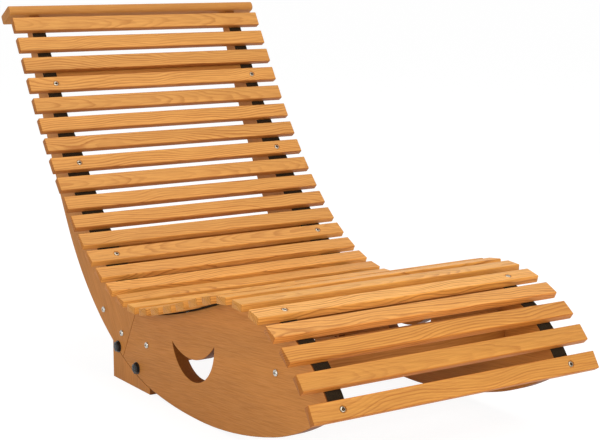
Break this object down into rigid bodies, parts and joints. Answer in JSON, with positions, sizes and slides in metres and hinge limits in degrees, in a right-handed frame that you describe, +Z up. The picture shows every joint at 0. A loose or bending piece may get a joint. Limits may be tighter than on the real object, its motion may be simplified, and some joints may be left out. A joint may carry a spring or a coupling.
{
  "type": "rocking chaise lounge",
  "caption": "Slatted wooden rocking lounger: a curved reclining seat of cross slats on rounded side frames with crescent hand holes.",
  "frame": {"origin": "on the floor, under the middle of the lounger's length and width", "axes": "+X across the seat, +Y towards the head end, +Z up; the sitter's feet point towards -Y"},
  "size_m": [0.6, 1.2132, 0.7258],
  "materials": {
    "slat_wood": "satin, oiled honey colour with open grain",
    "board_wood": "satin, smooth orange brown",
    "rail_wood": "satin, smooth orange brown",
    "webbing": "woven black webbing",
    "bright_steel": "bright plated button heads",
    "black_cap": "black moulded cap"
  },
  "bodies": {
    "root": {"slat_01": "slat_wood", "slat_02": "slat_wood", "slat_03": "slat_wood", "slat_04": "slat_wood", "slat_05": "slat_wood", "slat_06": "slat_wood", "slat_07": "slat_wood", "slat_08": "slat_wood", "slat_09": "slat_wood", "slat_10": "slat_wood", "slat_11": "slat_wood", "slat_12": "slat_wood", "slat_13": "slat_wood", "slat_14": "slat_wood", "slat_15": "slat_wood", "slat_16": "slat_wood", "slat_17": "slat_wood", "slat_18": "slat_wood", "slat_19": "slat_wood", "slat_20": "slat_wood", "slat_21": "slat_wood", "slat_22": "slat_wood", "slat_23": "slat_wood", "slat_24": "slat_wood", "slat_25": "slat_wood", "slat_26": "slat_wood", "slat_27": "slat_wood", "slat_28": "slat_wood", "slat_29": "slat_wood", "slat_30": "slat_wood", "cap_rail": "slat_wood", "strap_left": "webbing", "strap_right": "webbing", "back_board_left": "board_wood", "rocker_board_left": "board_wood", "foot_block_left": "board_wood", "joint_plate_left": "rail_wood", "back_board_right": "board_wood", "rocker_board_right": "board_wood", "foot_block_right": "board_wood", "joint_plate_right": "rail_wood", "back_rail_upper": "rail_wood", "back_rail_lower": "rail_wood", "middle_rail": "rail_wood", "front_rail": "rail_wood", "plate_bolt_upper_left": "bright_steel", "plate_bolt_lower_left": "bright_steel", "rail_bolt_middle_left": "bright_steel", "rail_bolt_front_left": "bright_steel", "cap_nut_rear_left": "black_cap", "cap_nut_front_left": "black_cap", "plate_bolt_upper_right": "bright_steel", "plate_bolt_lower_right": "bright_steel", "rail_bolt_middle_right": "bright_steel", "rail_bolt_front_right": "bright_steel", "cap_nut_rear_right": "black_cap", "cap_nut_front_right": "black_cap"}
  },
  "joints": []
}
